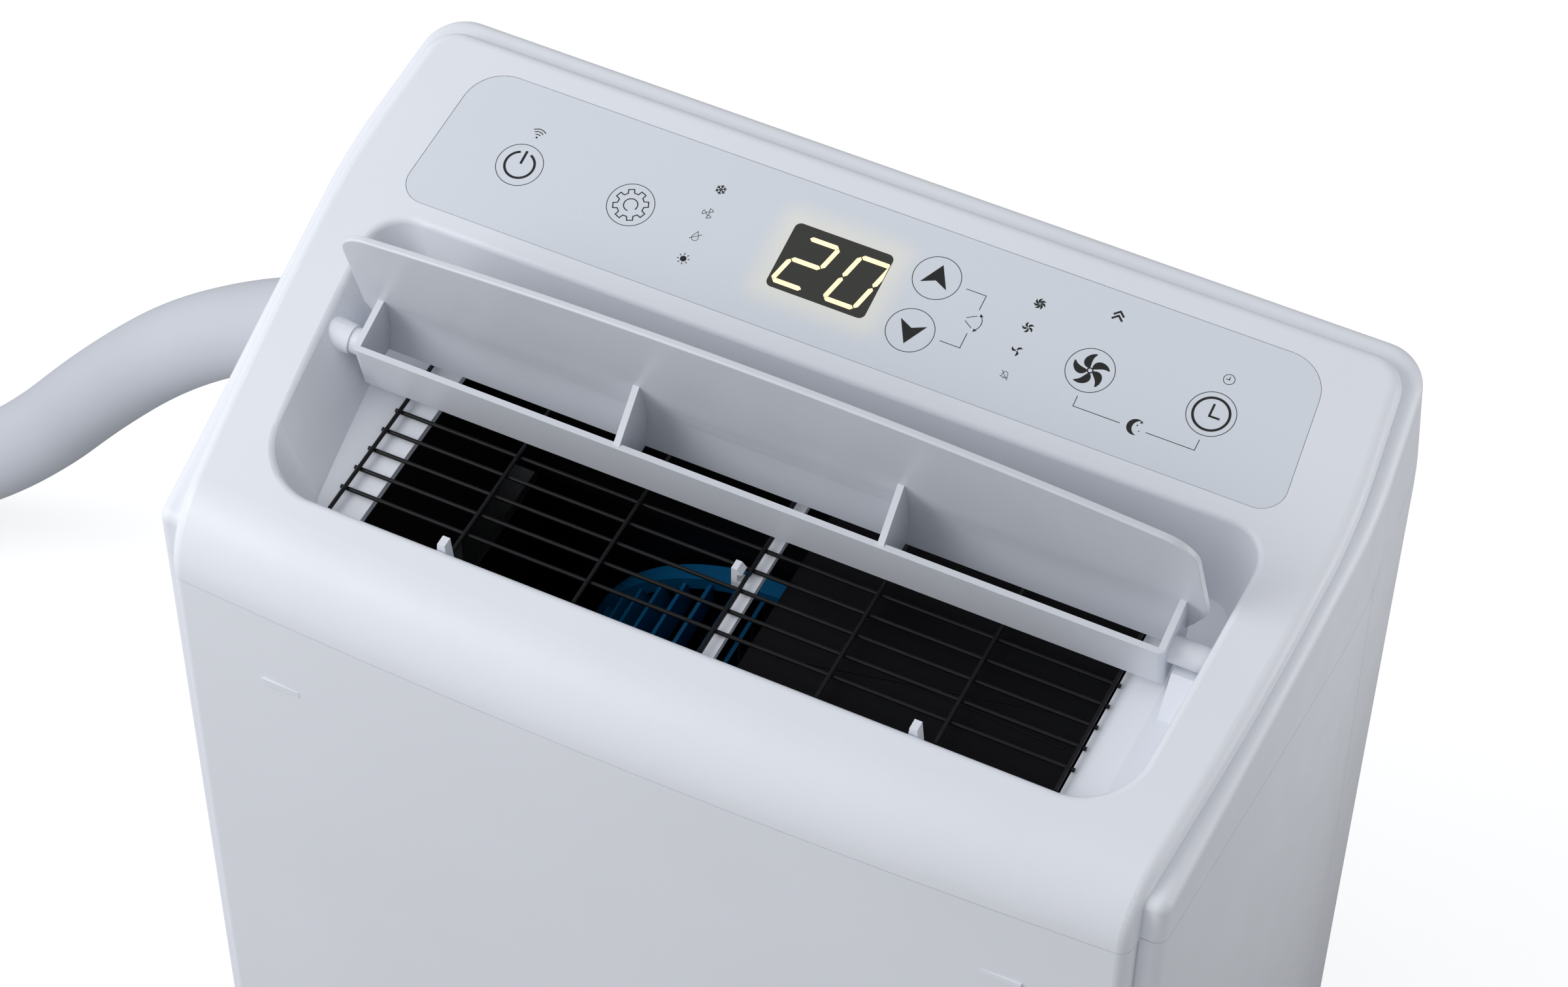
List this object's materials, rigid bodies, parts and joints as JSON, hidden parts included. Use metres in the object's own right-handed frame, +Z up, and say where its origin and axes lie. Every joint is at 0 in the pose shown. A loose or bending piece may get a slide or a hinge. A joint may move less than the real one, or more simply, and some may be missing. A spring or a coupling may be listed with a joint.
{
  "type": "portable air conditioner",
  "caption": "Indoor cabinet of a portable air conditioner with a sloping touch panel, a swinging outlet louver over a grille, a blower and cooling unit inside, castors and a rear hose.",
  "frame": {"origin": "on the floor, under the middle of the cabinet", "axes": "+Z up, the front with the touch panel edge faces -Y, +X to the right seen from the front"},
  "size_m": [1.1736, 0.6316, 0.749],
  "materials": {
    "white_plastic": "moulded ABS, fine satin grain",
    "inlay_plastic": "smooth printed control panel",
    "display_lens": "dark tinted window",
    "black_metal": "black coated wire",
    "grey_plastic": "light grey moulded plastic",
    "black_plastic": "black moulded plastic",
    "blue_plastic": "blue moulded blower wheel",
    "motor_steel": "zinc plated steel",
    "copper": "bare copper tube",
    "fin_aluminium": "aluminium fins",
    "black_steel": "black painted steel",
    "rubber_black": "black rubber",
    "board_green": "circuit board",
    "castor_grey": "dark grey nylon",
    "screw_steel": "zinc plated",
    "hose_sleeve": "smooth light grey insulated hose sleeve",
    "filter_mesh": "dark filter mesh"
  },
  "bodies": {
    "cabinet": {"top_cover": "white_plastic", "front_panel": "white_plastic", "side_panel_left": "white_plastic", "side_panel_right": "white_plastic", "rear_cover": "white_plastic", "grip_cup": "grey_plastic", "service_pocket": "grey_plastic", "drain_spout": "grey_plastic", "cord_gland": "black_plastic", "control_inlay": "inlay_plastic", "display_window": "display_lens", "display_module": "black_plastic", "touch_board": "board_green", "outlet_grille": "black_metal", "duct_divider": "white_plastic", "louver_cradle": "white_plastic", "duct_deflector": "black_plastic", "louver_motor": "motor_steel", "outlet_duct": "black_plastic", "blower_scroll": "black_plastic", "blower_motor": "motor_steel", "motor_bracket": "motor_steel", "intake_ring": "black_plastic", "evaporator_fins": "fin_aluminium", "evaporator_bends": "copper", "drip_pan": "grey_plastic", "coil_shroud": "grey_plastic", "compressor": "black_steel", "compressor_mounts": "rubber_black", "accumulator": "black_steel", "refrigerant_pipes": "copper", "reversing_valve": "copper", "mid_deck": "motor_steel", "condensate_tank": "grey_plastic", "drain_pump": "black_plastic", "electrical_box": "motor_steel", "control_board": "board_green", "power_choke": "black_steel", "base_tray": "grey_plastic", "castor_plates": "motor_steel", "cover_screws": "screw_steel", "hose_port": "grey_plastic", "hose_elbow": "white_plastic", "line_hose": "hose_sleeve", "hose_coupling": "black_plastic"},
    "louver_flap": {"louver": "white_plastic"},
    "blower": {"blower_wheel": "blue_plastic"},
    "rear_door": {"intake_door": "white_plastic", "air_filter": "filter_mesh"},
    "drain_stopper": {"drain_plug": "rubber_black"},
    "swivel_front_left": {"castor_fork_front_left": "castor_grey"},
    "roller_front_left": {"castor_wheel_front_left": "castor_grey"},
    "swivel_front_right": {"castor_fork_front_right": "castor_grey"},
    "roller_front_right": {"castor_wheel_front_right": "castor_grey"},
    "swivel_rear_left": {"castor_fork_rear_left": "castor_grey"},
    "roller_rear_left": {"castor_wheel_rear_left": "castor_grey"},
    "swivel_rear_right": {"castor_fork_rear_right": "castor_grey"},
    "roller_rear_right": {"castor_wheel_rear_right": "castor_grey"}
  },
  "joints": [
    {"name": "louver_swing", "type": "hinge", "parent": "cabinet", "child": "louver_flap", "pos_m": [0, -0.06675, 0.67385], "axis": [1, 0, 0], "range_deg": [-30, 80]},
    {"name": "blower_spin", "type": "hinge", "parent": "cabinet", "child": "blower", "pos_m": [0, -0.09, 0.502], "axis": [0, 1, 0], "continuous": true},
    {"name": "door_pull", "type": "slide", "parent": "cabinet", "child": "rear_door", "axis": [0, 0.9432, 0.3323], "range_m": [0, 0.06]},
    {"name": "plug_pull", "type": "slide", "parent": "cabinet", "child": "drain_stopper", "axis": [0, 1, 0], "range_m": [0, 0.03]},
    {"name": "swivel_front_left", "type": "hinge", "parent": "cabinet", "child": "swivel_front_left", "pos_m": [-0.16, -0.12, 0.045], "axis": [0, 0, 1], "continuous": true},
    {"name": "roll_front_left", "type": "hinge", "parent": "swivel_front_left", "child": "roller_front_left", "pos_m": [-0.16, -0.106, 0.02], "axis": [1, 0, 0], "continuous": true},
    {"name": "swivel_front_right", "type": "hinge", "parent": "cabinet", "child": "swivel_front_right", "pos_m": [0.16, -0.12, 0.045], "axis": [0, 0, 1], "continuous": true},
    {"name": "roll_front_right", "type": "hinge", "parent": "swivel_front_right", "child": "roller_front_right", "pos_m": [0.16, -0.106, 0.02], "axis": [1, 0, 0], "continuous": true},
    {"name": "swivel_rear_left", "type": "hinge", "parent": "cabinet", "child": "swivel_rear_left", "pos_m": [-0.158, 0.112, 0.045], "axis": [0, 0, 1], "continuous": true},
    {"name": "roll_rear_left", "type": "hinge", "parent": "swivel_rear_left", "child": "roller_rear_left", "pos_m": [-0.158, 0.126, 0.02], "axis": [1, 0, 0], "continuous": true},
    {"name": "swivel_rear_right", "type": "hinge", "parent": "cabinet", "child": "swivel_rear_right", "pos_m": [0.158, 0.112, 0.045], "axis": [0, 0, 1], "continuous": true},
    {"name": "roll_rear_right", "type": "hinge", "parent": "swivel_rear_right", "child": "roller_rear_right", "pos_m": [0.158, 0.126, 0.02], "axis": [1, 0, 0], "continuous": true}
  ]
}
